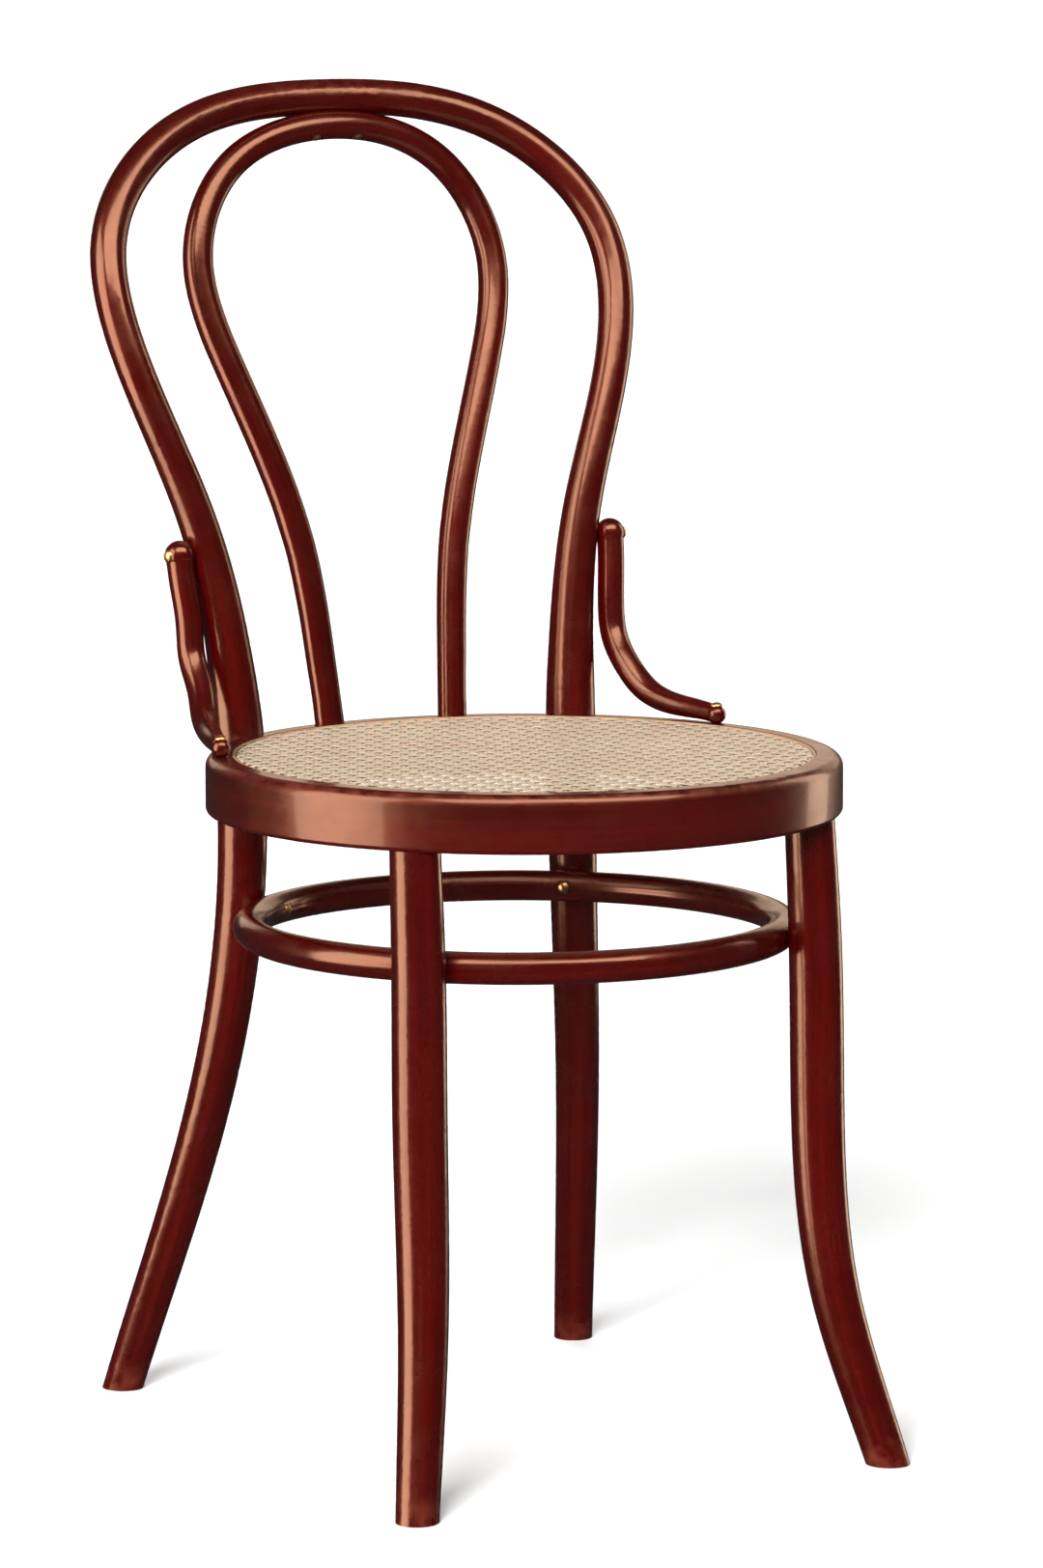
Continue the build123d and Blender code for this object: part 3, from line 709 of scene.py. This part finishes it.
rising, quarter = weave["diagonalHeight"], math.pi / 4
caneTree = strandTree()
laidCane = {
    "caneSideways": {**strandInputs},
    "caneLengthways": {**strandInputs, "Turn": math.pi / 2, "Seed": 11},
    "caneDiagonalRising": {
        **diagonalInputs, "Turn": quarter, "Wave Shear": -1.0, "Wave Height": rising, "Seed": 23},
    "caneDiagonalFalling": {
        **diagonalInputs, "Turn": -quarter, "Wave Shear": 1.0, "Wave Height": -rising, "Seed": 37},
}
for name, inputs in laidCane.items():
    caneMesh = meshFrom(caneTree, name, inputs)
    print("cane", name, len(caneMesh.polygons), "faces")
    placePiece(name, caneMesh, caneFinish, "cane", "seat_cane")


# The reed ring that wedges the cane's edge
reedLow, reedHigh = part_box("cane_spline")
wedge = {
    "inset": 0.00118, "stations": 360, "cornerPoints": 4, "tone": 0.4,
    "lumps": (90, 90, 0), "lumpShift": 0.6,
}
wedgeInputs = {
    "Radius": (reedHigh.x - reedLow.x) / 2 - wedge["inset"], "Width": 0.0023, "Height": 0.0076,
    "Crown": 0.0007, "Top": reedHigh.z, "Centre X": (reedLow.x + reedHigh.x) / 2,
    "Centre Y": (reedLow.y + reedHigh.y) / 2, "Unevenness": 0.00012, "Finish": reedFinish,
}


def wedgeTree():
    tree, given = startTree("reedWedge", wedgeInputs)
    inputs = {"Resolution": wedge["stations"], "Radius": given["Radius"]}
    circle = addNode(tree, "GeometryNodeCurvePrimitiveCircle", inputs).outputs[0]
    inputs = {"Width": given["Width"], "Height": given["Height"]}
    section = addNode(tree, "GeometryNodeCurvePrimitiveQuadrilateral", inputs).outputs[0]
    inputs = {"Curve": section, "Radius": given["Crown"], "Count": wedge["cornerPoints"]}
    section = addNode(tree, "GeometryNodeFilletCurve", inputs, mode="POLY").outputs[0]
    x, y, _ = splitVector(tree, positionIn(tree))
    length = times(tree, calc(tree, "ARCTAN2", y, x), given["Radius"])
    circle = keepValue(tree, circle, "alongReed", length)
    ring = sweep(tree, circle, keepValue(tree, section, "acrossReed", x))
    together = vectorOf(
        tree, keptValue(tree, "alongReed"), wedge["tone"], keptValue(tree, "acrossReed"))
    ring = keepValue(tree, ring, "strand", together, "FLOAT_VECTOR")
    lump = minus(tree, noiseOn(tree, positionIn(tree), wedge["lumps"]), wedge["lumpShift"])
    offset = vectorOf(tree, z=times(tree, lump, given["Unevenness"]))
    inputs = {"Geometry": ring, "Offset": offset}
    ring = addNode(tree, "GeometryNodeSetPosition", inputs).outputs[0]
    sunk = minus(tree, given["Top"], over(tree, given["Height"], 2))
    centre = vectorOf(tree, given["Centre X"], given["Centre Y"], sunk)
    endTree(tree, smoothed(tree, transformed(tree, ring, Translation=centre)), given["Finish"])
    return tree


reedMesh = meshFrom(wedgeTree(), "reedWedge", wedgeInputs)
print("reed wedge", len(reedMesh.polygons), "faces")
placePiece("reedWedge", reedMesh, reedFinish, "reed", "cane_spline")


# Slotted brass wood screws, with a thread on the lower part of the shank
screwInputs = {
    "Length": 0.03, "Head Diameter": 0.0086, "Head Height": 0.0026,
    "Slot Width": 0.0011, "Slot Depth": 0.0012,
    "Core Diameter": 0.0032, "Shank Diameter": 0.0041,
    "Thread Pitch": 0.0018, "Thread Share": 0.62, "Finish": brassFinish,
}
screw = {
    "domeSides": 40, "domeRings": 24, "shankSides": 28, "cutter": 0.02,
    "tip": 0.0002, "threadSides": 20, "threadStart": 0.0004, "threadRise": 0.94,
    "tooth": 0.00042, "toothSides": 4, "tipGap": 0.0006,
    "sharpAngle": 35, "firstTurn": 0.7, "turnEach": 2.4,  # no two slots lie the same way
}


def screwHead(tree, given):
    wide, high = over(tree, given["Head Diameter"], 2), given["Head Height"]
    inputs = {"Segments": screw["domeSides"], "Rings": screw["domeRings"], "Radius": 1.0}
    dome = addNode(tree, "GeometryNodeMeshUVSphere", inputs).outputs[0]
    dome = transformed(tree, dome, Scale=vectorOf(tree, wide, wide, high))
    size, half = screw["cutter"], screw["cutter"] / 2
    inputs = {"Size": vectorOf(tree, size, size, half)}
    under = addNode(tree, "GeometryNodeMeshCube", inputs).outputs[0]
    under = transformed(tree, under, Translation=(0, 0, -half / 2))
    inputs = {"Size": vectorOf(tree, size, given["Slot Width"], half)}
    slot = addNode(tree, "GeometryNodeMeshCube", inputs).outputs[0]
    level = plus(tree, minus(tree, high, given["Slot Depth"]), half / 2)
    slot = transformed(tree, slot, Translation=vectorOf(tree, z=level))
    cut = addNode(tree, "GeometryNodeMeshBoolean", {"Mesh 1": dome}, operation="DIFFERENCE")
    for cutter in (under, slot):
        tree.links.new(cutter, cut.inputs["Mesh 2"])
    return cut.outputs[0]


def screwShank(tree, given):
    threaded = times(tree, given["Length"], given["Thread Share"])
    plain = minus(tree, given["Length"], threaded)
    coreRadius = over(tree, given["Core Diameter"], 2)
    shankRadius = over(tree, given["Shank Diameter"], 2)
    inputs = {"Vertices": screw["shankSides"], "Radius": shankRadius, "Depth": plain}
    shank = addNode(tree, "GeometryNodeMeshCylinder", inputs).outputs[0]
    shank = transformed(tree, shank, Translation=vectorOf(tree, z=times(tree, plain, -0.5)))
    inputs = {
        "Vertices": screw["shankSides"], "Radius Top": screw["tip"],
        "Radius Bottom": coreRadius, "Depth": threaded}
    core = addNode(tree, "GeometryNodeMeshCone", inputs).outputs[0]
    coreTop = vectorOf(tree, z=times(tree, plain, -1.0))
    core = transformed(tree, core, Rotation=(math.pi, 0, 0), Translation=coreTop)
    turns = minus(tree, over(tree, threaded, given["Thread Pitch"]), 1.0)
    inputs = {
        "Resolution": screw["threadSides"], "Rotations": turns,
        "Start Radius": screw["threadStart"], "End Radius": coreRadius,
        "Height": times(tree, threaded, screw["threadRise"])}
    helix = addNode(tree, "GeometryNodeCurveSpiral", inputs).outputs[0]
    inputs = {"Resolution": screw["toothSides"], "Radius": screw["tooth"]}
    tooth = addNode(tree, "GeometryNodeCurvePrimitiveCircle", inputs).outputs[0]
    inputs = {"Curve": helix, "Profile Curve": tooth, "Fill Caps": True}
    thread = addNode(tree, "GeometryNodeCurveToMesh", inputs).outputs[0]
    bottom = times(tree, minus(tree, given["Length"], screw["tipGap"]), -1.0)
    thread = transformed(tree, thread, Translation=vectorOf(tree, z=bottom))
    return thread, core, shank


def screwTree():
    tree, given = startTree("woodScrew", screwInputs)
    head = screwHead(tree, given)
    joined = addNode(tree, "GeometryNodeJoinGeometry")
    for part in (*screwShank(tree, given), head):
        tree.links.new(part, joined.inputs[0])
    endTree(tree, joined.outputs[0], given["Finish"])
    return tree


# Where a screw's head sits, which way it is driven, and how long it is, from its CAD solid
def screwAxis(node):
    places = vertexPlaces(cadNodes[node].data)
    centre = places.mean(0)
    drive = np.linalg.eigh(np.cov((places - centre).T))[1][:, -1]
    sideways = np.cross(drive, (1, 0, 0) if abs(drive[0]) < 0.7 else (0, 1, 0))
    sideways /= np.linalg.norm(sideways)
    for across in (sideways, np.cross(drive, sideways)):
        spread = (places - centre) @ across
        centre = centre + across * (spread.min() + spread.max()) / 2
    along = (places - centre) @ drive
    out = np.linalg.norm((places - centre) - along[:, None] * drive, axis=1)
    if along[out.argmax()] > 0:
        drive, along = -drive, -along
    headHeight = screwInputs["Head Height"]
    seat = centre + drive * (along.min() + headHeight)
    return seat, drive, float(along.max() - along.min()) - headHeight


screws = screwTree()
screwNodes = sorted(node for node in cadNodes if "screw" in node)
for number, node in enumerate(screwNodes):
    seat, drive, length = screwAxis(node)
    screwMesh = meshFrom(screws, "brassScrew_" + node, {**screwInputs, "Length": length})
    spin = Matrix.Rotation(screw["firstTurn"] + number * screw["turnEach"], 4, "Z")
    turned = Vector(-drive).to_track_quat("Z", "Y").to_matrix().to_4x4()
    screwMesh.transform(Matrix.Translation(Vector(seat)) @ turned @ spin)
    screwMesh.shade_smooth()
    screwMesh.set_sharp_from_angle(angle=math.radians(screw["sharpAngle"]))
    placePiece("brassScrew_" + node, screwMesh, brassFinish, "brass", node)
print("screws", len(screwNodes))

for node, part in cadNodes.items():
    if node.startswith(("seat_bolt", "seat_nut", "seat_washer")):
        for holder in part.material_slots:
            holder.material = steelFinish
print("bolts, washers and nuts finished")


# Floor, light and camera
studio = {
    "floorColor": (0.92, 0.92, 0.92, 1), "floorReach": 70.0,
    "floorRoughness": 0.9, "floorSpecular": 0.1,
    "skyColor": (1.0, 1.0, 1.0, 1), "skyFill": 0.24, "skyGloss": 0.03, "skySeen": 1.1,
    "boxColor": (1.0, 0.70, 0.50), "sunDistance": 4,
}
suns = {  # turns are degrees to the camera's left, round the chair
    "frontSun": {"turn": 14.0, "height": 22.0, "strength": 8.0, "angle": 27.0},
    "backSun": {"turn": 165.0, "height": 38.0, "strength": 1.9, "angle": 60.0},
}
softBoxes = {
    "leftStrip": {"turn": 68.0, "height": 12.0, "away": 2.1, "size": (1.5, 2.6), "power": 92.0},
    "topPanel": {"turn": -15.0, "height": 58.0, "away": 2.2, "size": (3.0, 1.2), "power": 96.0},
    "backPanel": {"turn": 180.0, "height": 14.0, "away": 3.0, "size": (3.4, 0.9), "power": 11.0},
    "rearStrip": {"turn": -128.0, "height": 10.0, "away": 2.4, "size": (0.8, 2.2), "power": 20.0},
}
view = {
    "azimuth": -27.78, "elevation": 7.84, "distance": 4.71374, "lens": 164.19,
    "aim": (-0.0016, -0.0448, -0.0071), "farthest": 200.0,
}

azimuth, elevation = math.radians(view["azimuth"]), math.radians(view["elevation"])
flatToCamera = Vector((math.sin(azimuth), -math.cos(azimuth), 0))
toCamera = Vector((
    math.sin(azimuth) * math.cos(elevation), -math.cos(azimuth) * math.cos(elevation),
    math.sin(elevation)))
target = (cadLow + cadHigh) / 2 + Vector(view["aim"])


def fromCamera(turnLeft, height):
    flatDirection = Matrix.Rotation(-math.radians(turnLeft), 3, "Z") @ flatToCamera
    up = math.radians(height)
    return flatDirection * math.cos(up) + Vector((0, 0, math.sin(up)))


# Stands a light or the camera at a place, and turns it to face the chair
def standFacing(name, data, where):
    thing = bpy.data.objects.new(name, data)
    bpy.context.scene.collection.objects.link(thing)
    thing.location = where
    thing.rotation_euler = (target - where).to_track_quat("-Z", "Y").to_euler()
    return thing


floorMesh = bpy.data.meshes.new("studioFloor")
reach = studio["floorReach"]
corners = [(-reach, -reach, 0), (reach, -reach, 0), (reach, reach, 0), (-reach, reach, 0)]
floorMesh.from_pydata(corners, [], [(0, 1, 2, 3)])
floorFinish, _, floorShader = newFinish("pale_floor")
floorShader.inputs["Base Color"].default_value = studio["floorColor"]
floorShader.inputs["Roughness"].default_value = studio["floorRoughness"]
floorShader.inputs["Specular IOR Level"].default_value = studio["floorSpecular"]
floorMesh.materials.append(floorFinish)
floor = bpy.data.objects.new("studioFloor", floorMesh)
bpy.context.scene.collection.objects.link(floor)
floor.location.z = cadLow.z
floor.visible_glossy = False

# The sky fills the shade, and is dim where the lacquer mirrors it
world = bpy.data.worlds.new("studioWorld")
bpy.context.scene.world = world
world.use_nodes = True
sky = world.node_tree
plainSky = sky.nodes["Background"]
plainSky.inputs["Color"].default_value = studio["skyColor"]
rays = addNode(sky, "ShaderNodeLightPath").outputs
fill = ramp(sky, rays["Is Glossy Ray"], 0.0, 1.0, studio["skyFill"], studio["skyGloss"])
seen = ramp(sky, rays["Is Camera Ray"], 0.0, 1.0, fill, studio["skySeen"])
sky.links.new(seen, plainSky.inputs["Strength"])

for name, sun in suns.items():
    light = bpy.data.lights.new(name, "SUN")
    light.energy = sun["strength"]
    light.angle = math.radians(sun["angle"])
    where = target + fromCamera(sun["turn"], sun["height"]) * studio["sunDistance"]
    standFacing(name, light, where).visible_glossy = False
for name, box in softBoxes.items():
    light = bpy.data.lights.new(name, "AREA")
    light.shape = "RECTANGLE"
    light.size, light.size_y = box["size"]
    light.energy = box["power"]
    light.color = studio["boxColor"]
    where = target + fromCamera(box["turn"], box["height"]) * box["away"]
    stood = standFacing(name, light, where)
    stood.visible_diffuse = False  # only the gloss sees the soft boxes
    stood.visible_camera = False

bpy.context.scene.view_settings.view_transform = "Standard"
lens = bpy.data.cameras.new("camera")
lens.lens = view["lens"]
lens.clip_end = view["farthest"]
bpy.context.scene.camera = standFacing("camera", lens, target + toCamera * view["distance"])
print("studio ready")
